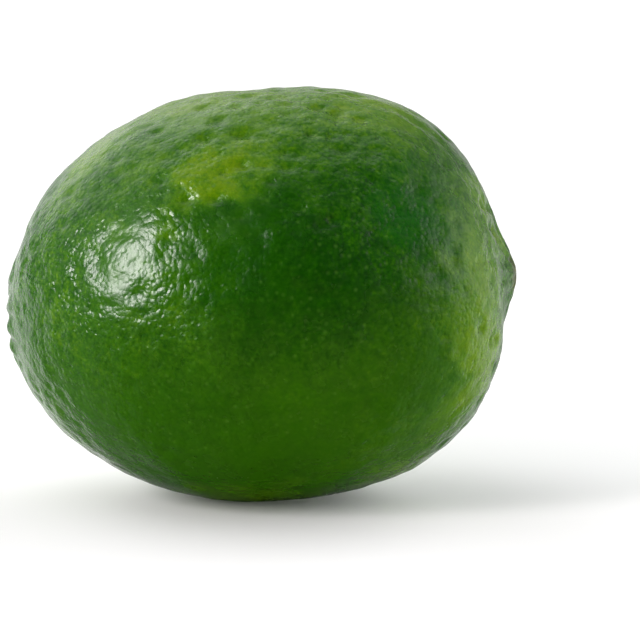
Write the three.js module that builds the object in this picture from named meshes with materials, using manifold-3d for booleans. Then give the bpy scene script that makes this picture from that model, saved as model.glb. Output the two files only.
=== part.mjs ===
// A whole Persian lime, lying on its flank.
//
// The fruit is one solid. Its body is a superellipse turned about the long axis, rounder at the
// stem end and fuller at the shoulder behind the nipple. The nipple end carries a low blunt nipple
// with a furrow round its foot, and the stem end a flat collar round a dimple with the round scar
// where the stalk came away. A few broad swells and hollows and faint lobes keep it from being a
// perfectly turned shape. The underside has a small flat spot that it rests on.
//
// Units are millimetres. +Z is up, the nipple points along +X and slightly up, and the origin is
// on the surface that the fruit rests on, under the middle of its box.

import * as THREE from "three";
import { mergeVertices } from "three/addons/utils/BufferGeometryUtils.js";
import Module from "manifold-3d";

// Body
const GIRTH_RADIUS = 25.2;
const NIPPLE_HALF = { length: 29.4, fullness: 2.5 }; // from the widest place to the shoulder's plane
const STEM_HALF = { length: 31.3, fullness: 2.0 };

// Nipple end
const NIPPLE_HEIGHT = 1.75;
const NIPPLE_RADIUS = 4.1;
const NIPPLE_ROUNDNESS = 2.2; // exponent of its bell shape
const FURROW = { depth: 0.22, radius: 6.2, width: 1.5 };

// Stem end
const DIMPLE = { depth: 1.6, radius: 2.9 };
const COLLAR = { height: 0.3, radius: 4.4, width: 1.6 };
const SCAR = { height: 0.55, radius: 1.9 }; // the raised round scar in the dimple
const SCAR_EDGE = 6; // exponent: the scar is flat on top, with a quick edge
const PLEATS = { count: 11, height: 0.16, radius: 5.2, width: 2.6 }; // creases across the collar

// Unevenness: each swell is centred at an angle from the nipple and an angle round the axis, which
// runs from the top towards the front. A hollow is a swell of negative height.
const SWELLS = [
  { polar: 50, around: 0, height: 0.3, spread: 12 },
  { polar: 76, around: 5, height: -0.18, spread: 12 },
  { polar: 112, around: -5, height: 0.3, spread: 15 },
  { polar: 164, around: 0, height: -0.25, spread: 12 },
  { polar: 72, around: 100, height: -0.25, spread: 26 },
  { polar: 128, around: 75, height: 0.2, spread: 20 },
  { polar: 62, around: 215, height: 0.35, spread: 24 },
  { polar: 104, around: 262, height: 0.45, spread: 30 },
  { polar: 40, around: 290, height: -0.3, spread: 18 },
  { polar: 136, around: 300, height: -0.3, spread: 20 },
];
const LOBES = { count: 5, height: 0.12, turn: 20 };

// How it lies
const NIPPLE_LIFT = 5; // degrees that the nipple end points above level
const FLAT_DEPTH = 0.3; // thickness that the flat spot takes off the round underside

// Facets
const ROWS = 44;
const AROUND = 72;
const ROW_CROWDING = 0.08; // draws the rows together at the two ends

const GREEN = 0x2f6a12;

const radians = THREE.MathUtils.degToRad;
const bell = (x, width) => Math.exp(-((x / width) ** 2));

// Distance from the centre to the plain body: each half is a superellipse.
function bodyDistance(polar) {
  const half = polar < Math.PI / 2 ? NIPPLE_HALF : STEM_HALF;
  const along = Math.abs(Math.cos(polar)) / half.length;
  const across = Math.sin(polar) / GIRTH_RADIUS;
  return (along ** half.fullness + across ** half.fullness) ** (-1 / half.fullness);
}

// How far the nipple and its furrow stand out along the axis, at a distance from the axis.
function nippleRelief(radius) {
  const nipple = NIPPLE_HEIGHT * Math.exp(-((radius / NIPPLE_RADIUS) ** NIPPLE_ROUNDNESS));
  return nipple - FURROW.depth * bell(radius - FURROW.radius, FURROW.width);
}

// How far the collar, its dimple and the scar stand out along the axis at the stem end.
function stemRelief(radius) {
  const collar = COLLAR.height * bell(radius - COLLAR.radius, COLLAR.width);
  const scar = SCAR.height * Math.exp(-((radius / SCAR.radius) ** SCAR_EDGE));
  return collar + scar - DIMPLE.depth * bell(radius, DIMPLE.radius);
}

// One meridian from the stem scar to the nipple, as points at (distance from the axis, along it).
function meridian() {
  return Array.from({ length: ROWS + 1 }, (_, row) => {
    const share = row / ROWS;
    const crowded = share - ROW_CROWDING * Math.sin(2 * Math.PI * share);
    const polar = Math.PI * (1 - crowded);
    const distance = bodyDistance(polar);
    const onAxis = row === 0 || row === ROWS;
    const radius = onAxis ? 0 : distance * Math.sin(polar);
    const relief = polar < Math.PI / 2 ? nippleRelief(radius) : -stemRelief(radius);
    return new THREE.Vector2(radius, distance * Math.cos(polar) + relief);
  });
}

// The direction, from the centre, at an angle from the nipple and an angle round the axis.
function direction(polar, around) {
  return new THREE.Vector3(
    Math.sin(polar) * Math.sin(around),
    Math.cos(polar),
    Math.sin(polar) * Math.cos(around),
  );
}

const swellCentres = SWELLS.map((swell) => direction(radians(swell.polar), radians(swell.around)));

// How far the skin stands proud of the turned shape in a direction from the centre.
function unevenness(towards) {
  const swells = SWELLS.reduce((sum, swell, i) => {
    const apart = towards.angleTo(swellCentres[i]);
    return sum + swell.height * bell(apart, radians(swell.spread));
  }, 0);
  const around = Math.atan2(towards.x, towards.z);
  const offAxis = Math.hypot(towards.x, towards.z);
  const lobes = LOBES.height * Math.cos(LOBES.count * (around - radians(LOBES.turn)));
  return swells + lobes * offAxis ** 2;
}

// The creases that cross the collar towards the scar, as a height along the axis.
function pleats(x, z) {
  const fade = bell(Math.hypot(x, z) - PLEATS.radius, PLEATS.width);
  return PLEATS.height * fade * Math.cos(PLEATS.count * Math.atan2(x, z));
}

// The closed skin, with its long axis along +Y and the nipple at +Y.
function skinGeometry() {
  const geometry = new THREE.LatheGeometry(meridian(), AROUND);
  const position = geometry.getAttribute("position");
  const point = new THREE.Vector3();
  for (let i = 0; i < position.count; i += 1) {
    point.fromBufferAttribute(position, i);
    const towards = point.clone().normalize();
    point.addScaledVector(towards, unevenness(towards));
    if (point.y < 0) point.y -= pleats(point.x, point.z);
    position.setXYZ(i, point.x, point.y, point.z);
  }
  return geometry;
}

const wasm = await Module();
wasm.setup();

// A geometry as a manifold-3d solid, with its seam and pole vertices merged.
function solidFrom(geometry) {
  const bare = geometry.clone();
  bare.deleteAttribute("normal");
  bare.deleteAttribute("uv");
  const merged = mergeVertices(bare, 1e-4);
  const corners = merged.index.array;
  const triVerts = [];
  for (let i = 0; i < corners.length; i += 3) {
    const [a, b, c] = corners.subarray(i, i + 3);
    if (a !== b && b !== c && c !== a) triVerts.push(a, b, c);
  }
  return new wasm.Manifold(
    new wasm.Mesh({
      numProp: 3,
      vertProperties: merged.getAttribute("position").array,
      triVerts: new Uint32Array(triVerts),
    }),
  );
}

// A manifold-3d solid back as a geometry.
function geometryFrom(solid) {
  const mesh = solid.getMesh();
  const geometry = new THREE.BufferGeometry();
  geometry.setAttribute("position", new THREE.BufferAttribute(mesh.vertProperties, 3));
  geometry.setIndex(new THREE.BufferAttribute(mesh.triVerts, 1));
  geometry.computeVertexNormals();
  return geometry;
}

// Lays the skin down: the long axis goes from +Y to +X, then its nipple end is lifted.
const lying = skinGeometry();
lying.rotateZ(-Math.PI / 2);
lying.rotateY(-radians(NIPPLE_LIFT));
lying.computeBoundingBox();

// The flat spot is cut off level, a little above the lowest point.
const size = lying.boundingBox.getSize(new THREE.Vector3());
const flatLevel = lying.boundingBox.min.z + FLAT_DEPTH;
const belowFlat = new THREE.BoxGeometry(size.x, size.y, size.z);
belowFlat.translate(0, 0, flatLevel - size.z / 2);
const limeGeometry = geometryFrom(solidFrom(lying).subtract(solidFrom(belowFlat)));
limeGeometry.computeBoundingBox();

const peel = new THREE.MeshStandardMaterial({ color: GREEN, roughness: 0.4, metalness: 0 });
const lime = new THREE.Mesh(limeGeometry, peel);
lime.name = "lime";
const middle = limeGeometry.boundingBox.getCenter(new THREE.Vector3());
lime.position.set(-middle.x, -middle.y, -flatLevel);

const fruit = new THREE.Group();
fruit.add(lime);

export default fruit;
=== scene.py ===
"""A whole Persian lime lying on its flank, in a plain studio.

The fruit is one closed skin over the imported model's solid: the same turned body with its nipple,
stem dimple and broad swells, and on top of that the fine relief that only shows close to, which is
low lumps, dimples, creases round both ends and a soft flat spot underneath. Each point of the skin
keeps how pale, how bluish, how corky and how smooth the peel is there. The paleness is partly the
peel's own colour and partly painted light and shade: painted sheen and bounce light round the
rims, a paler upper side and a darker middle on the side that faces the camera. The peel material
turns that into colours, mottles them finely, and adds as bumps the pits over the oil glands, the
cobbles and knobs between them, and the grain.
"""

import itertools

import bpy
import numpy as np
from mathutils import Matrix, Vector


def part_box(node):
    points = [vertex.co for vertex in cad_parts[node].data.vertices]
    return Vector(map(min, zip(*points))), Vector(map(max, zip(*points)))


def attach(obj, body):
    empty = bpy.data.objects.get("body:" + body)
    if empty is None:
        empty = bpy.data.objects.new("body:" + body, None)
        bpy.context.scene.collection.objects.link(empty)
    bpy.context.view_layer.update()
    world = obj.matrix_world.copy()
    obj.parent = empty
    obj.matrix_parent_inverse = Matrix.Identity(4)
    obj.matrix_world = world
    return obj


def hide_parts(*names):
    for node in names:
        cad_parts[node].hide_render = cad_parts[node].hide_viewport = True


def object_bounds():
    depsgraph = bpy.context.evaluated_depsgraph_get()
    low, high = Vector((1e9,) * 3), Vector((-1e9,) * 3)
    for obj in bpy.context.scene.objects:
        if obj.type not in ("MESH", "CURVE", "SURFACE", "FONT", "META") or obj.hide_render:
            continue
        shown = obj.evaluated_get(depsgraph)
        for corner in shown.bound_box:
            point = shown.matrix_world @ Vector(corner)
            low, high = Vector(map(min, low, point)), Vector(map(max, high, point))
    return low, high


bl_info = {
    "name": "Lime",
    "version": (1, 0, 0),
    "blender": (4, 5, 0),
    "location": "View3D > Sidebar > Lime",
    "description": "A whole lime with waxy, pitted peel, and the studio that it lies in",
    "category": "Add Mesh",
}

MM = 0.001
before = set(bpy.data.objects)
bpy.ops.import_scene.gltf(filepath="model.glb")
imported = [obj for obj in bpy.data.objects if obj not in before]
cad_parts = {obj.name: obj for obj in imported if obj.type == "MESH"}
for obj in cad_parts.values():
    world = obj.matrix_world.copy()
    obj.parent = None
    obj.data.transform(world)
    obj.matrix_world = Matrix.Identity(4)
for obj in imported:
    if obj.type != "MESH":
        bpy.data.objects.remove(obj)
CAD_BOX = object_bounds()

# The broad shape, the same as the solid's, in millimetres and degrees.
NIPPLE_RELIEF = {"height": 1.75, "radius": 4.1, "roundness": 2.2}
FURROW = {"depth": 0.22, "radius": 6.2, "width": 1.5}
DIMPLE = {"depth": 1.6, "radius": 2.9}
COLLAR = {"height": 0.3, "radius": 4.4, "width": 1.6}
SCAR = {"height": 0.55, "radius": 1.9, "edge": 6}
PLEATS = {"count": 11, "height": 0.16, "radius": 5.2, "width": 2.6}
LOBES = {"count": 5, "height": 0.12, "turn": 20}
# Swells and hollows: angle from the nipple, angle round the axis, height and spread.
SWELLS = (
    (50, 0, 0.3, 12),
    (76, 5, -0.18, 12),
    (112, -5, 0.3, 15),
    (164, 0, -0.25, 12),
    (72, 100, -0.25, 26),
    (128, 75, 0.2, 20),
    (62, 215, 0.35, 24),
    (104, 262, 0.45, 30),
    (40, 290, -0.3, 18),
    (136, 300, -0.3, 20),
)

# The skin's grid. The tips are the two end points, kept this far off the axis, in radians.
ROWS = 250
AROUND = 398
ROW_CROWDING = 0.05  # draws the rows together at the two ends
TIP_ANGLE = 1e-5
# The coarser grid that the broad skin's box is measured on, kept off the axis by an angle in radians.
MEASURING_GRID = {"rows": 181, "around": 241, "clear": 0.001}
REST_SOFTNESS = 0.09  # how softly the flat spot runs out, in millimetres

# Smooth random fields are sums of this many waves, of lengths between these shares of the one asked.
WAVES = 56
WAVE_LENGTHS = (0.75, 1.35)

# Fine relief, in millimetres. Its shares are of the heights and depths that LimeShape gives.
LUMPS = (
    {"wavelength": 13, "share": 1.0, "seed": 1},
    {"wavelength": 6.5, "share": 0.5, "seed": 2},
    {"wavelength": 2.8, "share": 0.5, "seed": 6},
)
# Large and small dimples, with how much deeper they run at each end.
DIMPLES = (
    {"spacing": 2.0, "radius": 0.70, "share": 1.5, "seed": 3, "nipple_end": 1.5, "stem_end": 0.65},
    {"spacing": 1.25, "radius": 0.44, "share": 0.7, "seed": 4, "nipple_end": 0.3, "stem_end": 0.3},
)
DIMPLES_EVERYWHERE = 0.45
DIMPLES_SQUEEZE = (0.65, 1, 1)  # squeezes places along the axis, so that dimples come out longer
SHOULDER = {"centre": (6, -13, 19), "width": 15, "share": 2.8}
ENDS = {"start": 17, "length": 11}  # along the axis from the centre
# Creases round the nipple and round the stem scar. Side is 1 at the nipple end and -1 at the other.
CREASES = (
    {"side": 1, "count": 13, "radius": 5.5, "width": 4.5, "share": 1.0, "turn": 0},
    {"side": -1, "count": 17, "radius": 7, "width": 4.5, "share": 0.3, "turn": 1},
)
CREASE_WANDER = {"wavelength": 7, "turn": 1.98, "seed": 5}
FURROW_FILL = {"height": 0.25, "radius": 6.2, "width": 2.2}
# What a smooth level of 1 takes off the lumps and dimples, and what a level of -1 adds to them, as
# shares of them.
SMOOTHING = 0.8
COARSENING = 0.2


class LimeShape(bpy.types.PropertyGroup):
    """Sizes of the fruit and its relief."""

    girth_radius: bpy.props.FloatProperty(
        name="Girth radius", description="Radius at the widest place",
        default=25.2 * MM, unit="LENGTH", precision=4)
    nipple_half: bpy.props.FloatProperty(
        name="Nipple half", description="Length of the body from its widest place to the nipple's foot",
        default=29.4 * MM, unit="LENGTH", precision=4)
    nipple_fullness: bpy.props.FloatProperty(
        name="Nipple half's fullness", description="Exponent of the superellipse at the nipple end",
        default=2.5)
    stem_half: bpy.props.FloatProperty(
        name="Stem half", description="Length of the body from its widest place to the stem end",
        default=31.3 * MM, unit="LENGTH", precision=4)
    stem_fullness: bpy.props.FloatProperty(
        name="Stem half's fullness", description="Exponent of the superellipse at the stem end",
        default=2.0)
    lift: bpy.props.FloatProperty(
        name="Lift", description="Angle that the nipple end points above level",
        default=float(np.radians(5)), subtype="ANGLE")
    lump_height: bpy.props.FloatProperty(
        name="Lump height", description="Typical height of the broadest low lumps",
        default=0.07 * MM, unit="LENGTH", precision=5)
    dimple_depth: bpy.props.FloatProperty(
        name="Dimple depth", description="Depth that the dimples' shares are taken of",
        default=0.21 * MM, unit="LENGTH", precision=5)
    crease_depth: bpy.props.FloatProperty(
        name="Crease depth", description="Depth of the creases that run in towards the nipple",
        default=0.12 * MM, unit="LENGTH", precision=5)


class PeelColours(bpy.types.PropertyGroup):
    """Colours and finish of the peel."""

    deepest: bpy.props.FloatVectorProperty(
        name="Deepest", description="The deepest green, in the darkest flecks", subtype="COLOR",
        default=(0.0035, 0.041, 0.0003), min=0, max=1)
    dark: bpy.props.FloatVectorProperty(
        name="Dark", description="Dark green of the shaded side", subtype="COLOR",
        default=(0.0085, 0.063, 0.0004), min=0, max=1)
    green: bpy.props.FloatVectorProperty(
        name="Green", description="The peel's main green", subtype="COLOR",
        default=(0.024, 0.103, 0.0008), min=0, max=1)
    # The pale green, where it lies on the upper side and round the ends, is partly painted light.
    pale: bpy.props.FloatVectorProperty(
        name="Pale", description="The paler green of the upper side and the ends", subtype="COLOR",
        default=(0.062, 0.163, 0.0020), min=0, max=1)
    # Yellow green also stands in as painted sheen on the lower rim of the nipple end, where the pale
    # patches pile up towards it.
    yellow: bpy.props.FloatVectorProperty(
        name="Yellow green", description="Where the peel is ripening", subtype="COLOR",
        default=(0.108, 0.208, 0.0025), min=0, max=1)
    bluish: bpy.props.FloatVectorProperty(
        name="Bluish green", description="Waxy bluish patch on the shoulder", subtype="COLOR",
        default=(0.0050, 0.086, 0.0045), min=0, max=1)
    gland: bpy.props.FloatVectorProperty(
        name="Oil gland", description="Pale speck over each oil gland", subtype="COLOR",
        default=(0.060, 0.165, 0.022), min=0, max=1)
    cork: bpy.props.FloatVectorProperty(
        name="Cork", description="Dry skin of the stem scar and the nipple's tip", subtype="COLOR",
        default=(0.19, 0.130, 0.055), min=0, max=1)
    gland_spacing: bpy.props.FloatProperty(
        name="Gland spacing", description="Distance between neighbouring oil glands",
        default=0.85 * MM, unit="LENGTH", precision=5)
    pit_depth: bpy.props.FloatProperty(
        name="Pit depth", description="Depth of the pit over each oil gland",
        default=0.044 * MM, unit="LENGTH", precision=5)


class Studio(bpy.types.PropertyGroup):
    """Camera and softbox."""

    camera_height: bpy.props.FloatProperty(
        name="Camera height", description="Angle that the camera looks down by",
        default=float(np.radians(10)), subtype="ANGLE")
    frame_width: bpy.props.FloatProperty(
        name="Frame width", description="Width of the picture at the fruit",
        default=78.4 * MM, unit="LENGTH", precision=4)
    key_power: bpy.props.FloatProperty(
        name="Key power", description="Power of the softbox", default=2.7, unit="POWER")
    key_colour: bpy.props.FloatVectorProperty(
        name="Key colour", description="Colour of the softbox", subtype="COLOR",
        default=(1.0, 0.94, 0.96), min=0, max=1)


# ---------------------------------------------------------------- shape


def bell(x, width):
    """exp(-(x / width) squared)."""
    return np.exp(-((x / width) ** 2))


def wave_noise(points, wavelength, seed):
    """A smooth random field of about unit spread at points: the root of (2 / number of waves) times
    the sum of cosines of plane waves, each of random direction and phase, whose lengths lie around
    one wavelength."""
    rng = np.random.default_rng(seed)
    directions = rng.normal(size=(WAVES, 3))
    directions /= np.linalg.norm(directions, axis=1, keepdims=True)
    lengths = wavelength * rng.uniform(*WAVE_LENGTHS, WAVES)
    phases = rng.uniform(0, 2 * np.pi, WAVES)
    turns = points @ (directions * (2 * np.pi / lengths)[:, None]).T + phases
    return np.sqrt(2 / WAVES) * np.cos(turns).sum(axis=-1)


def scattered_pits(points, spacing, radius, seed):
    """Depth of scattered round pits at points: each cell of a cubic lattice holds one pit of random
    place and depth, and the field is the sum of depth * exp(-(distance / radius) squared). Depths
    are squared random numbers, so that few pits are deep."""
    rng = np.random.default_rng(seed)
    cell = np.floor(points / spacing).astype(int)
    cell -= cell.min(axis=0) - 1
    lattice = rng.random((*(cell.max(axis=0) + 2), 4))
    origin = np.floor(points / spacing).min(axis=0) - 1
    depth = np.zeros(len(points))
    for step in itertools.product((-1, 0, 1), repeat=3):
        i, j, k = (cell + step).T
        pit = lattice[i, j, k]
        centre = (cell + step + origin + pit[:, :3]) * spacing
        gap = np.linalg.norm(points - centre, axis=1)
        depth += pit[:, 3] ** 2 * bell(gap, radius)
    return depth


def turned_points(shape, polar, around):
    """Broad skin before it is laid down, axis along X, nipple at +X, millimetres.

    Each half is a superellipse: distance = ((|cos polar| / length) ** n + (sin polar / girth) ** n)
    ** (-1 / n). The nipple, its furrow, the collar, the dimple and the scar are bells of the
    distance from the axis, added along the axis. Swells are bells of the angle from their centres,
    and lobes a cosine round the axis, added outwards from the centre."""
    nipple_side = polar < np.pi / 2
    length = np.where(nipple_side, shape.nipple_half, shape.stem_half) / MM
    power = np.where(nipple_side, shape.nipple_fullness, shape.stem_fullness)
    across = np.sin(polar) / (shape.girth_radius / MM)
    distance = ((np.abs(np.cos(polar)) / length) ** power + across**power) ** (-1 / power)
    radius = distance * np.sin(polar)
    nipple = NIPPLE_RELIEF["height"] * np.exp(
        -((radius / NIPPLE_RELIEF["radius"]) ** NIPPLE_RELIEF["roundness"]))
    nipple = nipple - FURROW["depth"] * bell(radius - FURROW["radius"], FURROW["width"])
    stem = COLLAR["height"] * bell(radius - COLLAR["radius"], COLLAR["width"])
    stem = stem + SCAR["height"] * np.exp(-((radius / SCAR["radius"]) ** SCAR["edge"]))
    stem = stem - DIMPLE["depth"] * bell(radius, DIMPLE["radius"])
    along = distance * np.cos(polar) + np.where(nipple_side, nipple, -stem)
    points = np.stack([along, -radius * np.sin(around), radius * np.cos(around)], axis=-1)
    towards = points / np.linalg.norm(points, axis=-1, keepdims=True)
    proud = LOBES["height"] * np.sin(polar) ** 2 * np.cos(
        LOBES["count"] * (around - np.radians(LOBES["turn"])))
    for swell_polar, swell_around, height, spread in SWELLS:
        centre = direction(np.radians(swell_polar), np.radians(swell_around))
        apart = np.arccos(np.clip(towards @ centre, -1, 1))
        proud = proud + height * bell(apart, np.radians(spread))
    points = points + towards * proud[..., None]
    offset = np.hypot(points[..., 1], points[..., 2])
    crossing = np.arctan2(-points[..., 1], points[..., 2])
    pleats = PLEATS["height"] * bell(offset - PLEATS["radius"], PLEATS["width"])
    pleats = pleats * np.cos(PLEATS["count"] * crossing)
    points[..., 0] -= np.where(nipple_side, 0, pleats)
    return points


def direction(polar, around):
    """Direction from the centre at an angle from the nipple and an angle round the axis, which runs
    from the top towards the front."""
    return np.array([
        np.cos(polar),
        -np.sin(polar) * np.sin(around),
        np.sin(polar) * np.cos(around),
    ])


def lump_field(points):
    """The sum of smooth random fields of a few wavelengths, each times its share."""
    return sum(lump["share"] * wave_noise(points, lump["wavelength"], lump["seed"])
               for lump in LUMPS)


def dimple_field(points):
    """The sum, over large and small dimples, of scattered pits times how deep they run there. That
    is a share everywhere, plus the larger of a bell round the upper shoulder and a slope that
    climbs from 0 to 1 towards each end."""
    along = points[:, 0]
    from_shoulder = np.linalg.norm(points - SHOULDER["centre"], axis=1)
    shoulder = SHOULDER["share"] * bell(from_shoulder, SHOULDER["width"])
    ends = np.clip((np.abs(along) - ENDS["start"]) / ENDS["length"], 0, 1)
    squeezed = points * DIMPLES_SQUEEZE
    field = np.zeros(len(points))
    for dimple in DIMPLES:
        pits = scattered_pits(squeezed, dimple["spacing"], dimple["radius"], dimple["seed"])
        at_end = np.where(along > 0, dimple["nipple_end"], dimple["stem_end"])
        deep = DIMPLES_EVERYWHERE + np.maximum(shoulder, at_end * ends)
        field += dimple["share"] * deep * pits
    return field


def crease_field(points, radius, around):
    """The sum, over the two ends, of a bell of the distance from the axis times a cosine of (count *
    angle round the axis + a smooth random field), which makes the creases wander."""
    wander = CREASE_WANDER["turn"] * wave_noise(
        points, CREASE_WANDER["wavelength"], CREASE_WANDER["seed"])
    field = np.zeros(len(points))
    for crease in CREASES:
        near = bell(radius - crease["radius"], crease["width"])
        near = np.where(crease["side"] * points[:, 0] > 0, near, 0)
        field += crease["share"] * near * np.cos(
            crease["count"] * around + wander + crease["turn"])
    return field


def fine_relief(shape, points):
    """How far the fine relief stands proud of the broad skin, in millimetres: lumps less dimples,
    evened out or made coarser by the level of smoothness, plus creases round both ends and a bell
    that partly fills the furrow on the nipple's upper side."""
    along, front, up = points.T
    radius = np.hypot(front, up)
    around = np.arctan2(-front, up)
    relief = shape.lump_height / MM * lump_field(points)
    relief -= shape.dimple_depth / MM * dimple_field(points)
    smooth = smoothness(shape, points)
    relief *= 1 - np.where(smooth > 0, SMOOTHING, COARSENING) * smooth
    relief += shape.crease_depth / MM * crease_field(points, radius, around)
    upper_side = 0.5 + 0.5 * np.cos(around)
    fill = FURROW_FILL["height"] * bell(radius - FURROW_FILL["radius"], FURROW_FILL["width"])
    relief += np.where(along > 0, fill * upper_side, 0)
    return relief


# How pale the peel is, from 0 for the deepest green to 1 for yellow green.
MAIN_PALENESS = 0.43
# The most pale the peel gets: a cap for where the painted sheen patches pile up along the rim.
MOST_PALE = 0.92
# Soft patches of every kind: angle from the nipple, angle round the axis, radius in millimetres, and
# level. A patch has its full level inside the first share of its radius, and ends at the second.
PATCH_EDGE = (0.25, 1.6)
# What the pale patches add to the paleness. Most are the peel's own colour; those marked below are
# painted light and painted shade.
PALE_PATCHES_AND_PAINTED_LIGHT = (
    (100, 43, 4.2, 0.36),
    (92, 42, 3.8, 0.30),
    (107, 45, 2.4, 0.26),
    (112, 57, 2.0, 0.24),
    (103, 54, 2.2, 0.16),
    (116, 34, 4.2, 0.18),
    (133, 12, 5.0, 0.38),
    (141, 25, 3.5, 0.22),
    (147, 32, 3.5, 0.02),
    (128, 50, 3.5, 0.10),
    # The paler upper side: partly the peel's own colour, partly painted light from above.
    (72, 8, 14.0, 0.31),
    (108, -2, 10.0, 0.35),
    (52, 10, 7.0, 0.20),
    # Painted highlight and sheen on the upper flank of the nipple end.
    (24, 50, 6.0, 0.20),
    (22, 20, 4.5, 0.28),
    (12, 30, 2.4, 0.30),
    # Painted sheen and bounce light along the lower rim of the nipple end.
    (26, 104, 8.0, 0.28),
    (29, 116, 4.5, 0.26),
    (27, 134, 4.5, 0.26),
    (38, 138, 5.0, 0.26),
    (57, 161, 5.0, 0.26),
    (60, 142, 8.0, 0.10),
    (146, 52, 2.4, 0.08),
    # Darker middle of the side facing the camera: partly the peel's deeper green, partly painted shade.
    (82, 76, 9.5, -0.27),
    # Painted bounce light from the floor along the underside.
    (98, 168, 9.0, 0.38),
    (64, 62, 8.0, -0.12),
    # Painted shade that tones down the rendered sheen on the shoulder.
    (46, 62, 4.0, -0.10),
    # Painted sheen on the front near the nipple end.
    (34, 68, 5.0, 0.14),
    (31, 88, 4.5, 0.12),
    # Painted shade that tones down the rendered sheen low on the front.
    (109, 110, 8.0, -0.06),
    (62, 84, 6.0, -0.12),
    (62, 40, 6.5, -0.11),
    (150, 175, 10.0, 0.14),
    (95, 200, 9.0, -0.11),
    (70, 235, 10.0, 0.24),
    (120, 285, 12.0, -0.16),
    (50, 300, 8.0, -0.13),
)
# Where the peel has a waxy blue cast.
BLUISH_PATCHES = (
    (47, 58, 6.0, 0.6),
)
# Where the skin is smoother, by a level above 0, or coarser, by a level below 0.
SMOOTH_PATCHES = (
    (122, 60, 3.8, 0.48),
    (127, 74, 3.8, 0.48),
    (148, 55, 9.0, -0.50),
    (140, 95, 7.0, -0.25),
    (114, 86, 5.0, -0.35),
    (100, 42, 4.5, -0.35),
    (95, 75, 7.0, 0.25),
    (92, 59, 4.0, 0.40),
    (42, 0, 8.0, 0.45),
    (95, 160, 12.0, 0.50),
    (62, 30, 10.0, -0.35),
    (56, 62, 7.0, -0.60),
)
MOST_SMOOTH = 0.8
# Dry skin at the nipple's tip and on the stem scar.
CORK_PATCHES = (
    (2, 90, 1.9, 0.5),
    (179.9, 0, 1.9, 1.0),
)

# Smooth random pushes, in millimetres, that make the edges of patches ragged. Each of the three
# axes has its own seed, counted up from the first.
RAGGED = (
    {"wavelength": 5, "push": 0.75, "first_seed": 21},
    {"wavelength": 2.2, "push": 0.4, "first_seed": 24},
)
CORK_RAGGED = 0.25  # share of those pushes that the edge of the cork takes
SMOOTH_RAGGED = {"wavelength": 2.2, "push": 0.5, "seed": 24}
# Broad mottles in the paleness. They are as lively as a share at the height of the axis, which
# grows by 1 over so many millimetres upwards, between a least share and 1.
BROAD_MOTTLES = (
    {"wavelength": 9, "spread": 0.018, "seed": 27},
    {"wavelength": 3.2, "spread": 0.024, "seed": 28},
)
BROAD_LIVELINESS = {"at_axis": 0.9, "growth": 12, "least": 0.3}


def patch_sum(shape, points, patches):
    """The sum, over soft patches, of level * smooth step of (distance / radius), which is 1 inside the
    inner edge and 0 outside the outer one. A smooth step is share squared * (3 - 2 * share)."""
    inner, outer = PATCH_EDGE
    total = np.zeros(len(points))
    for polar, around, radius, level in patches:
        spot = turned_points(shape, np.radians([polar]), np.radians([around]))[0]
        gap = np.linalg.norm(points - spot, axis=1) / radius
        share = np.clip((outer - gap) / (outer - inner), 0, 1)
        total += level * share**2 * (3 - 2 * share)
    return total


def ragged_push(points):
    """How far smooth random fields push each point, in millimetres along each axis."""
    return np.stack([
        sum(field["push"] * wave_noise(points, field["wavelength"], field["first_seed"] + axis)
            for field in RAGGED)
        for axis in range(3)
    ], axis=1)


def skin_tones(shape, points):
    """How pale, bluish, corky and smooth the peel is at points: soft patches drawn at places that
    smooth random fields push about, with two sizes of mottles in the paleness. Some of the pale
    patches are painted light and some painted shade."""
    push = ragged_push(points)
    mottles = sum(mottle["spread"] * wave_noise(points, mottle["wavelength"], mottle["seed"])
                  for mottle in BROAD_MOTTLES)
    liveliness = BROAD_LIVELINESS["at_axis"] + points[:, 2] / BROAD_LIVELINESS["growth"]
    mottles *= np.clip(liveliness, BROAD_LIVELINESS["least"], 1)
    paleness = MAIN_PALENESS + patch_sum(shape, points + push, PALE_PATCHES_AND_PAINTED_LIGHT) + mottles
    return {
        "paleness": np.minimum(paleness, MOST_PALE),
        "bluish": patch_sum(shape, points + push, BLUISH_PATCHES),
        "cork": patch_sum(shape, points + CORK_RAGGED * push, CORK_PATCHES),
        "smooth": smoothness(shape, points),
    }


def smoothness(shape, points):
    """How far the relief is evened out at points, or made coarser where below 0: the sum of soft
    patches at places that a smooth random field pushes about, kept within a limit on both sides."""
    push = SMOOTH_RAGGED["push"] * wave_noise(
        points, SMOOTH_RAGGED["wavelength"], SMOOTH_RAGGED["seed"])
    level = patch_sum(shape, points + push[:, None], SMOOTH_PATCHES)
    return np.clip(level, -MOST_SMOOTH, MOST_SMOOTH)


def laid(shape, points):
    """Turns points about Y by the lift, so that the nipple end rises: along * cosine - up * sine,
    and along * sine + up * cosine."""
    cosine, sine = np.cos(shape.lift), np.sin(shape.lift)
    along, front, up = np.moveaxis(points, -1, 0)
    return np.stack([along * cosine - up * sine, front, along * sine + up * cosine], axis=-1)


def fruit_centre(shape):
    """Where the fruit's centre lies in the frame, in millimetres: the broad skin's box is put in the
    middle of the solid's box, with its top at the solid's top."""
    clear = MEASURING_GRID["clear"]
    polar, around = np.meshgrid(np.linspace(clear, np.pi - clear, MEASURING_GRID["rows"]),
                                np.linspace(0, 2 * np.pi, MEASURING_GRID["around"]), indexing="ij")
    skin = laid(shape, turned_points(shape, polar, around)).reshape(-1, 3)
    low, high = (np.array(corner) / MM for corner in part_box("lime"))
    middle = (low + high) / 2 - (skin.min(axis=0) + skin.max(axis=0)) / 2
    middle[2] = high[2] - skin[:, 2].max()
    return middle


def rested(points, level):
    """Flattens what would reach below level: height = level + softness * ln(1 + exp(rise /
    softness)), which leaves the skin alone a few softnesses above it."""
    rise = points[:, 2] - level
    points[:, 2] = level + REST_SOFTNESS * np.logaddexp(0, rise / REST_SOFTNESS)
    return points


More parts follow.
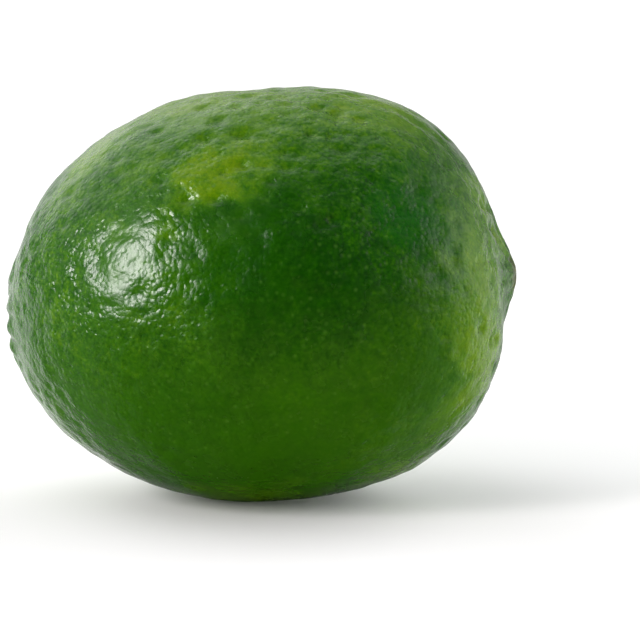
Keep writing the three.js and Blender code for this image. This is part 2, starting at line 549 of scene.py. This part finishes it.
def skin_mesh(shape):
    """The closed skin: a grid of rows by angle round the axis, with a point and a fan at each end. A
    row's angle from the nipple is pi * (1 - (share - crowding * sin(2 pi * share)))."""
    share = np.linspace(0, 1, ROWS + 1)
    crowded = share - ROW_CROWDING * np.sin(2 * np.pi * share)
    polar, around = np.meshgrid(np.pi * (1 - crowded[1:-1]),
                                np.arange(AROUND) * 2 * np.pi / AROUND, indexing="ij")
    tips = np.array([np.pi - TIP_ANGLE, TIP_ANGLE])
    polar = np.concatenate([polar.ravel(), tips])
    around = np.concatenate([around.ravel(), np.zeros(2)])
    points = turned_points(shape, polar, around)
    outwards = points / np.linalg.norm(points, axis=1, keepdims=True)
    tones = skin_tones(shape, points)
    points += outwards * fine_relief(shape, points)[:, None]
    points = laid(shape, points) + fruit_centre(shape)
    points = rested(points, CAD_BOX[0][2] / MM)
    row, column = np.meshgrid(np.arange(ROWS - 2), np.arange(AROUND), indexing="ij")
    corner = (row * AROUND + column).ravel()
    beside = (row * AROUND + (column + 1) % AROUND).ravel()
    quads = np.stack([corner, corner + AROUND, beside + AROUND, beside], axis=1)
    ring = np.arange(AROUND)
    following = (ring + 1) % AROUND
    last_row = (ROWS - 2) * AROUND
    stem_tip, nipple_tip = len(points) - 2, len(points) - 1
    stem_fan = np.stack([np.full(AROUND, stem_tip), ring, following], axis=1)
    nipple_fan = np.stack(
        [np.full(AROUND, nipple_tip), last_row + following, last_row + ring], axis=1)
    mesh = bpy.data.meshes.new("lime_skin")
    faces = [*quads.tolist(), *stem_fan.tolist(), *nipple_fan.tolist()]
    mesh.from_pydata((points * MM).tolist(), [], faces)
    for name, values in tones.items():
        mesh.attributes.new(name, "FLOAT", "POINT").data.foreach_set("value", values)
    mesh.shade_smooth()
    mesh.update()
    return mesh


# ---------------------------------------------------------------- materials


class Nodes:
    """Short ways to add and join nodes in one tree."""

    def __init__(self, tree):
        self.tree = tree

    def put(self, socket, value):
        """Feeds a socket from another socket, or sets its value."""
        if isinstance(value, bpy.types.NodeSocket):
            self.tree.links.new(value, socket)
        elif value is not None:
            socket.default_value = value

    def add(self, kind, inputs=None, **settings):
        """A new node with its settings, and with its inputs fed by name."""
        node = self.tree.nodes.new(kind)
        for name, value in settings.items():
            setattr(node, name, value)
        for name, value in (inputs or {}).items():
            self.put(node.inputs[name], value)
        return node

    def maths(self, operation, *values):
        """The result of an operation on numbers."""
        node = self.tree.nodes.new("ShaderNodeMath")
        node.operation = operation
        for socket, value in zip(node.inputs, values):
            self.put(socket, value)
        return node.outputs[0]

    def vector(self, operation, *values):
        """The result of an operation on vectors, which is a number for some."""
        node = self.tree.nodes.new("ShaderNodeVectorMath")
        node.operation = operation
        for socket, value in zip(node.inputs, values):
            self.put(socket, value)
        number = operation in ("LENGTH", "DOT_PRODUCT")
        return node.outputs["Value" if number else "Vector"]

    def ramp(self, value, low, high, to_low=0.0, to_high=1.0):
        """A smooth step from to_low to to_high as the value goes from low to high."""
        node = self.add("ShaderNodeMapRange", interpolation_type="SMOOTHSTEP")
        for socket, number in zip(node.inputs, (value, low, high, to_low, to_high)):
            self.put(socket, number)
        return node.outputs[0]

    def mix(self, share, first, second):
        """The first colour, replaced by the second to a share."""
        node = self.add("ShaderNodeMix", data_type="RGBA")
        colours = [socket for socket in node.inputs if socket.type == "RGBA"]
        self.put(node.inputs[0], share)
        self.put(colours[0], first)
        self.put(colours[1], second)
        return next(socket for socket in node.outputs if socket.type == "RGBA")

    def noise(self, place, wavelength, detail=2.0, roughness=0.5):
        """Soft noise from 0 to 1, with features about a wavelength in size, in millimetres."""
        inputs = {"Vector": place, "Scale": 1 / (wavelength * MM), "Detail": detail,
                  "Roughness": roughness}
        return self.add("ShaderNodeTexNoise", inputs).outputs[0]

    def attribute(self, name):
        """A number kept at the skin's points."""
        return self.add("ShaderNodeAttribute", attribute_name=name).outputs["Fac"]

    def group(self, tree, inputs):
        """The outputs of a node group, with its inputs fed by name."""
        node = self.add("ShaderNodeGroup", node_tree=tree)
        for name, value in inputs.items():
            self.put(node.inputs[name], value)
        return node.outputs


def new_group(name, inputs, outputs):
    """An empty shader node group with named sockets: each input has its kind and its first value, and
    each output its kind. Returns the tree, its nodes, what it is given and what it results in."""
    tree = bpy.data.node_groups.new(name, "ShaderNodeTree")
    for socket, kind, value in inputs:
        made = tree.interface.new_socket(socket, in_out="INPUT", socket_type=kind)
        if value is not None:
            made.default_value = value
    for socket, kind in outputs:
        tree.interface.new_socket(socket, in_out="OUTPUT", socket_type=kind)
    nodes = Nodes(tree)
    given = nodes.add("NodeGroupInput").outputs
    result = nodes.add("NodeGroupOutput").inputs
    return tree, nodes, given, result


FLOAT = "NodeSocketFloat"
VECTOR = "NodeSocketVector"

# Oil glands, one to each cell of a jittered lattice. Sizes are shares of the spacing: a pit's edge,
# and the middle where it has its full depth. Depths are spread from the least share up to 1, which
# is reached by the random numbers above a limit. The specks' strengths are random numbers to a power.
GLAND = {"jitter": 0.9, "edge": 0.45, "middle": 0.05, "least": 0.35, "limit": 0.8, "power": 2.0}
# Cobbles and knobs: low round bumps, 1 less steepness * (distance / spacing) squared.
COBBLE = {"jitter": 0.95, "steepness": 2.0}


def oil_gland_group():
    """Oil glands: a round pit and a pale speck of random strength in each cell."""
    tree, nodes, given, result = new_group(
        "oil glands",
        [("Place", VECTOR, None), ("Spacing", FLOAT, MM), ("Size", FLOAT, GLAND["edge"])],
        [("Height", FLOAT), ("Speck", FLOAT)])
    scale = nodes.maths("DIVIDE", 1.0, given["Spacing"])
    cells = nodes.add("ShaderNodeTexVoronoi",
                      {"Vector": given["Place"], "Scale": scale, "Randomness": GLAND["jitter"]})
    hollow = nodes.ramp(cells.outputs["Distance"], given["Size"], GLAND["middle"])
    random = nodes.add("ShaderNodeSeparateColor", {"Color": cells.outputs["Color"]}).outputs
    depth = nodes.ramp(random[0], 0.0, GLAND["limit"], GLAND["least"], 1.0)
    nodes.put(result["Height"], nodes.maths("SUBTRACT", 1.0, nodes.maths("MULTIPLY", hollow, depth)))
    pale = nodes.maths("POWER", random[1], GLAND["power"])
    nodes.put(result["Speck"], nodes.maths("MULTIPLY", hollow, pale))
    return tree


def cobble_group():
    """Low round cobbles, one to each cell of a jittered lattice, with soft valleys between."""
    tree, nodes, given, result = new_group(
        "cobbles", [("Place", VECTOR, None), ("Spacing", FLOAT, MM)], [("Height", FLOAT)])
    scale = nodes.maths("DIVIDE", 1.0, given["Spacing"])
    cells = nodes.add("ShaderNodeTexVoronoi",
                      {"Vector": given["Place"], "Scale": scale, "Randomness": COBBLE["jitter"]})
    squared = nodes.maths("MULTIPLY", cells.outputs["Distance"], cells.outputs["Distance"])
    fall = nodes.maths("MULTIPLY", squared, COBBLE["steepness"])
    nodes.put(result["Height"], nodes.maths("SUBTRACT", 1.0, fall))
    return tree


# Where the colours between the deepest and the yellow green stand on the scale of paleness.
PALETTE = {"dark": 0.22, "green": 0.48, "pale": 0.74}
# Fine mottles: wavelength in millimetres and spread.
FINE_MOTTLES = (
    (1.1, 0.46),
    (0.45, 0.50),
)
# How lively they are: from the least share at the low height above the floor to 1 at the high one,
# in millimetres, less a share of the smooth level.
FINE_LIVELINESS = {"low": 14, "high": 26, "least": 0.4, "smooth": -1.2}
SPECK_STRENGTH = 0.40
# Cork: the cracks take its colour from the low to the high level of a noise, to a share at most.
CORK_CRACK = (0.045, 0.030, 0.010)
CRACKS = {"wavelength": 0.5, "low": 0.35, "high": 0.65, "share": 0.8}
# Bumps between the pits, from cobbles and larger knobs to the finest grain, in millimetres.
COBBLES = {"spacing": 0.62, "height": 0.026}
KNOBS = {"spacing": 1.4, "height": 0.030}
GRAIN = {"wavelength": 0.3, "height": 0.013}
# The wax: its roughness goes from the low to the high one with a noise, and is more over cork.
WAX_NOISE = {"wavelength": 3.846, "low": 0.3, "high": 0.7}
WAX_ROUGHNESS = {"low": 0.20, "high": 0.29, "cork": 0.3}
WAX_IOR = 1.40


def peel_material(colours):
    """Waxy green peel: mottled greens, soft yellow-green and dark patches, partly painted sheen, bounce
    light and shade, a pale speck and a pit over each oil gland, low cobbles and knobs between them,
    and dry cork at the nipple's tip and the stem scar."""
    material = bpy.data.materials.new("lime peel")
    material.use_nodes = True
    tree = material.node_tree
    tree.nodes.clear()
    nodes = Nodes(tree)
    place = nodes.add("ShaderNodeTexCoord").outputs["Object"]
    glands = nodes.group(oil_gland_group(), {
        "Place": place,
        "Spacing": colours.gland_spacing,
        "Size": GLAND["edge"],
    })
    smooth = nodes.attribute("smooth")
    cork = nodes.attribute("cork")
    paleness = mottled(nodes, place, nodes.attribute("paleness"), smooth)
    palette = nodes.add("ShaderNodeValToRGB", {"Fac": paleness})
    stops = palette.color_ramp.elements
    stops[0].color = (*colours.deepest, 1)
    stops[1].color = (*colours.yellow, 1)
    for name, level in PALETTE.items():
        stops.new(level).color = (*getattr(colours, name), 1)
    colour = nodes.mix(nodes.attribute("bluish"), palette.outputs["Color"], (*colours.bluish, 1))
    speck = nodes.maths("MULTIPLY", glands["Speck"], SPECK_STRENGTH)
    colour = nodes.mix(speck, colour, (*colours.gland, 1))
    cracks = nodes.noise(place, CRACKS["wavelength"], roughness=0.6)
    cracks = nodes.ramp(cracks, CRACKS["low"], CRACKS["high"], 0.0, CRACKS["share"])
    colour = nodes.mix(cork, colour, nodes.mix(cracks, (*colours.cork, 1), (*CORK_CRACK, 1)))
    height = bump_height(nodes, place, glands["Height"], colours.pit_depth / MM, smooth)
    bump = nodes.add("ShaderNodeBump", {"Height": height, "Distance": MM, "Strength": 1.0})
    rough = nodes.noise(place, WAX_NOISE["wavelength"], detail=3.0, roughness=0.6)
    rough = nodes.ramp(rough, WAX_NOISE["low"], WAX_NOISE["high"],
                       WAX_ROUGHNESS["low"], WAX_ROUGHNESS["high"])
    rough = nodes.maths("ADD", rough, nodes.maths("MULTIPLY", cork, WAX_ROUGHNESS["cork"]))
    shader = nodes.add("ShaderNodeBsdfPrincipled", {
        "Base Color": colour,
        "Roughness": rough,
        "Normal": bump.outputs[0],
        "IOR": WAX_IOR,
    })
    output = nodes.add("ShaderNodeOutputMaterial")
    tree.links.new(shader.outputs[0], output.inputs["Surface"])
    return material


def mottled(nodes, place, paleness, smooth):
    """Paleness plus, for each size of fine mottle, (noise - 0.5) * spread * liveliness."""
    height = nodes.add("ShaderNodeSeparateXYZ", {"Vector": place}).outputs["Z"]
    liveliness = nodes.ramp(height, FINE_LIVELINESS["low"] * MM, FINE_LIVELINESS["high"] * MM,
                            FINE_LIVELINESS["least"], 1.0)
    calming = nodes.maths("MULTIPLY", smooth, FINE_LIVELINESS["smooth"])
    liveliness = nodes.maths("ADD", liveliness, calming)
    for wavelength, spread in FINE_MOTTLES:
        mottle = nodes.maths("SUBTRACT", nodes.noise(place, wavelength), 0.5)
        mottle = nodes.maths("MULTIPLY", mottle, spread)
        paleness = nodes.maths("ADD", paleness, nodes.maths("MULTIPLY", mottle, liveliness))
    return paleness


def bump_height(nodes, place, pits, pit_depth, smooth):
    """Height of the bumps in millimetres: (pits + cobbles + knobs) * (1 - smooth) + grain."""
    height = nodes.maths("MULTIPLY", pits, pit_depth)
    cobbled = cobble_group()
    for bumps in (COBBLES, KNOBS):
        made = nodes.group(cobbled, {"Place": place, "Spacing": bumps["spacing"] * MM})
        made = nodes.maths("MULTIPLY", made["Height"], bumps["height"])
        height = nodes.maths("ADD", height, made)
    height = nodes.maths("MULTIPLY", height, nodes.maths("SUBTRACT", 1.0, smooth))
    grain = nodes.maths("MULTIPLY", nodes.noise(place, GRAIN["wavelength"]), GRAIN["height"])
    return nodes.maths("ADD", height, grain)


# ---------------------------------------------------------------- stage

# The surroundings are soft lobes of light, each with a compass angle from +X towards +Y, a height
# above level and a brightness. A lobe has its full brightness inside the smaller of the two angles
# from its direction, and fades out at the larger. First, the light that they throw on the fruit
# and the floor.
THROWN_FADE = (50, 5)
THROWN = (
    (348, 3, 2.80),
    (45, 12, 4.44),
    (135, 12, 3.00),
    (180, 48, 1.00),
    (0, 90, 0.45),
)
# Second, what the peel's gloss mirrors of them, which is narrower and stands apart from the first.
MIRRORED_FADE = (36, 5)
MIRRORED = (
    (0, 5, 0.90),
    (25, 22, 0.30),
    (45, 5, 0.20),
    (90, 5, 0.70),
    (125, 3, 0.35),
    (128, 33, 1.08),
    (180, 32, 0.45),
    (315, 32, 0.05),
    (0, 62, 0.11),
    (90, 62, 0.60),
    (135, 62, 0.15),
    (0, 90, 0.13),
)
# What the peel's gloss mirrors of the floor: compass angle and brightness.
FLOOR_FADE = (50, 0)
FLOOR_MIRRORED = (
    (0, 0.20),
    (45, 0.72),
    (90, 0.19),
    (135, 1.24),
    (180, 0.27),
    (225, 0.04),
    (315, 0.03),
)
# That is dimmed near the middle of the floor: distances in millimetres, and the share left inside
# the near one.
FLOOR_DIMMED = {"near": 4, "far": 24, "share": 0.4}

FLOOR_HALF_WIDTH = 6.0  # in metres
# The floor as it is seen, with a faint glow of its own.
FLOOR_PAINT = (0.84, 0.84, 0.84, 1)
FLOOR_GLOW = 0.04
# The floor as it lights the fruit from below: a warmer paint, and a fill of the same cast.
BOUNCE_PAINT = (0.86, 0.86, 0.30, 1)
BOUNCE_FILL = (0.9, 1, 0.3, 1)
BOUNCE_GLOW = 0.10

# The softbox: direction, distance from the fruit and size in metres.
KEY = {"towards": (-0.765, -0.51, 0.41), "gap": 0.6, "size": (0.15, 0.28)}
# A glow round it that only the peel's gloss mirrors: direction and brightness.
KEY_GLOW_FADE = (21, 9)
KEY_GLOW = ((KEY["towards"], 6.6),)

# The camera: lens and sensor, and how far right and down of the fruit's middle it aims, all in
# millimetres.
CAMERA = {"lens": 200.0, "sensor": 36.0, "right": 7.1, "down": 3.3}
CAMERA_REACH = 100  # the farthest that it sees, in metres
WHITE = (1, 1, 1, 1)


def compass(azimuth, height):
    """Direction at a compass angle from +X towards +Y and a height above level, in degrees."""
    azimuth, height = np.radians(azimuth), np.radians(height)
    level = np.cos(height)
    return (level * np.cos(azimuth), level * np.sin(azimuth), np.sin(height))


def soft_lobes(nodes, ray, lobes, fade):
    """The sum, over lobes of direction and brightness, of the brightness times a smooth step of the
    cosine of the angle to the lobe's direction, from the fading angle to the full one, in degrees."""
    fading, full = np.cos(np.radians(fade))
    total = 0.0
    for towards, level in lobes:
        glow = nodes.ramp(nodes.vector("DOT_PRODUCT", ray, towards), fading, full, 0.0, level)
        total = nodes.maths("ADD", total, glow)
    return total


def glowing_paint(nodes, paint, glow, brightness):
    """A matt paint that also glows a little."""
    painted = nodes.add("ShaderNodeBsdfDiffuse", {"Color": paint})
    glowing = nodes.add("ShaderNodeEmission", {"Color": glow, "Strength": brightness})
    both = nodes.add("ShaderNodeAddShader")
    nodes.put(both.inputs[0], painted.outputs[0])
    nodes.put(both.inputs[1], glowing.outputs[0])
    return both.outputs[0]


def chosen(nodes, choice, otherwise, shader):
    """One shader where the choice is 1, and the other where it is 0."""
    node = nodes.add("ShaderNodeMixShader")
    for socket, value in zip(node.inputs, (choice, otherwise, shader)):
        nodes.put(socket, value)
    return node.outputs[0]


def floor_material():
    """A pale floor that is one thing to the camera, a warmer one as it lights the fruit, and soft
    sectors of light round the compass in what the peel's gloss mirrors."""
    material = bpy.data.materials.new("white floor")
    material.use_nodes = True
    tree = material.node_tree
    tree.nodes.clear()
    nodes = Nodes(tree)
    seen = glowing_paint(nodes, FLOOR_PAINT, WHITE, FLOOR_GLOW)
    bounced = glowing_paint(nodes, BOUNCE_PAINT, BOUNCE_FILL, BOUNCE_GLOW)
    place = nodes.add("ShaderNodeTexCoord").outputs["Object"]
    sectors = [(compass(azimuth, 0), level) for azimuth, level in FLOOR_MIRRORED]
    sectors = soft_lobes(nodes, nodes.vector("NORMALIZE", place), sectors, FLOOR_FADE)
    dimmed = nodes.ramp(nodes.vector("LENGTH", place), FLOOR_DIMMED["near"] * MM,
                        FLOOR_DIMMED["far"] * MM, FLOOR_DIMMED["share"], 1.0)
    mirrored = nodes.add("ShaderNodeEmission", {
        "Color": WHITE,
        "Strength": nodes.maths("MULTIPLY", sectors, dimmed),
    })
    path = nodes.add("ShaderNodeLightPath").outputs
    shown = chosen(nodes, path["Is Diffuse Ray"], seen, bounced)
    shown = chosen(nodes, path["Is Glossy Ray"], shown, mirrored.outputs[0])
    output = nodes.add("ShaderNodeOutputMaterial")
    tree.links.new(shown, output.inputs["Surface"])
    return material


def build_floor():
    """A wide pale floor at the height that the lime rests at."""
    half, level = FLOOR_HALF_WIDTH, CAD_BOX[0][2]
    mesh = bpy.data.meshes.new("floor")
    corners = [(-half, -half, level), (half, -half, level), (half, half, level), (-half, half, level)]
    mesh.from_pydata(corners, [], [(0, 1, 2, 3)])
    mesh.materials.append(floor_material())
    floor = bpy.data.objects.new("floor", mesh)
    bpy.context.scene.collection.objects.link(floor)
    return floor


def build_world():
    """White surroundings: pure white to the camera, soft lobes in the dark for the light that they
    throw, and other lobes, with a glow round the softbox, for what the peel's gloss mirrors."""
    world = bpy.data.worlds.new("studio")
    bpy.context.scene.world = world
    world.use_nodes = True
    tree = world.node_tree
    tree.nodes.clear()
    nodes = Nodes(tree)
    ray = nodes.add("ShaderNodeTexCoord").outputs["Generated"]
    thrown = [(compass(azimuth, height), level) for azimuth, height, level in THROWN]
    thrown = soft_lobes(nodes, ray, thrown, THROWN_FADE)
    mirrored = [(compass(azimuth, height), level) for azimuth, height, level in MIRRORED]
    mirrored = nodes.maths("ADD", soft_lobes(nodes, ray, mirrored, MIRRORED_FADE),
                           soft_lobes(nodes, ray, KEY_GLOW, KEY_GLOW_FADE))
    path = nodes.add("ShaderNodeLightPath").outputs
    level = nodes.maths("ADD", nodes.maths("MULTIPLY", mirrored, path["Is Glossy Ray"]),
                        nodes.maths("MULTIPLY", thrown, path["Is Diffuse Ray"]))
    level = nodes.maths("ADD", level, path["Is Camera Ray"])
    background = nodes.add("ShaderNodeBackground", {"Color": WHITE, "Strength": level})
    output = nodes.add("ShaderNodeOutputWorld")
    tree.links.new(background.outputs[0], output.inputs["Surface"])
    return world


def fruit_middle():
    """The middle of the fruit's box."""
    low, high = (np.array(corner) for corner in CAD_BOX)
    return (low + high) / 2


def build_camera(studio):
    """A long lens that looks slightly down, with the fruit up and left of the middle. It stands back
    by frame width * lens / sensor."""
    tilt = studio.camera_height
    back = np.array([0, -np.cos(tilt), np.sin(tilt)])
    up = np.array([0, np.sin(tilt), np.cos(tilt)])
    aim = fruit_middle() + np.array([CAMERA["right"], 0, 0]) * MM - up * CAMERA["down"] * MM
    place = aim + back * studio.frame_width * CAMERA["lens"] / CAMERA["sensor"]
    data = bpy.data.cameras.new("camera")
    data.lens = CAMERA["lens"]
    data.sensor_width = CAMERA["sensor"]
    data.clip_end = CAMERA_REACH
    camera = bpy.data.objects.new("camera", data)
    camera.location = place
    camera.rotation_euler = (np.pi / 2 - tilt, 0, 0)
    bpy.context.scene.collection.objects.link(camera)
    bpy.context.scene.camera = camera
    return camera


def build_key(studio):
    """The rectangular softbox, which faces the fruit."""
    towards = np.array(KEY["towards"])
    towards /= np.linalg.norm(towards)
    data = bpy.data.lights.new("key softbox", "AREA")
    data.shape = "RECTANGLE"
    data.size, data.size_y = KEY["size"]
    data.energy = studio.key_power
    data.color = studio.key_colour
    light = bpy.data.objects.new("key softbox", data)
    light.location = fruit_middle() + towards * KEY["gap"]
    light.rotation_euler = Vector(-towards).to_track_quat("-Z", "Y").to_euler()
    bpy.context.scene.collection.objects.link(light)
    return light


class LIME_OT_fruit(bpy.types.Operator):
    """Add the lime in place of the plain solid"""

    bl_idname = "lime.fruit"
    bl_label = "Add the lime"

    def execute(self, context):
        shape, colours = context.scene.lime_shape, context.scene.lime_colours
        skin = bpy.data.objects.new("lime_skin", skin_mesh(shape))
        context.scene.collection.objects.link(skin)
        skin.data.materials.append(peel_material(colours))
        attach(skin, "root")
        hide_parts("lime")
        return {"FINISHED"}


class LIME_OT_stage(bpy.types.Operator):
    """Set up the floor, the surroundings, the softbox and the camera"""

    bl_idname = "lime.stage"
    bl_label = "Set up the studio"

    def execute(self, context):
        studio = context.scene.lime_studio
        build_floor()
        build_world()
        build_camera(studio)
        build_key(studio)
        context.scene.view_settings.view_transform = "Standard"
        return {"FINISHED"}


class LIME_PT_panel(bpy.types.Panel):
    """Sidebar panel with the lime's steps"""

    bl_idname = "LIME_PT_panel"
    bl_label = "Lime"
    bl_space_type = "VIEW_3D"
    bl_region_type = "UI"
    bl_category = "Lime"

    def draw(self, context):
        for step in STEPS:
            self.layout.operator(step.bl_idname)


GROUPS = {"lime_shape": LimeShape, "lime_colours": PeelColours, "lime_studio": Studio}
STEPS = (LIME_OT_fruit, LIME_OT_stage)


def register():
    """Adds the settings to the scene, and the steps and the panel to the sidebar."""
    for name, group in GROUPS.items():
        bpy.utils.register_class(group)
        setattr(bpy.types.Scene, name, bpy.props.PointerProperty(type=group))
    for step in (*STEPS, LIME_PT_panel):
        bpy.utils.register_class(step)


def unregister():
    """Takes away all that register added."""
    for step in reversed((*STEPS, LIME_PT_panel)):
        bpy.utils.unregister_class(step)
    for name, group in GROUPS.items():
        delattr(bpy.types.Scene, name)
        bpy.utils.unregister_class(group)


def main():
    """Registers the classes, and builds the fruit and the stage."""
    register()
    bpy.ops.lime.fruit()
    bpy.ops.lime.stage()


if __name__ == "__main__":
    main()
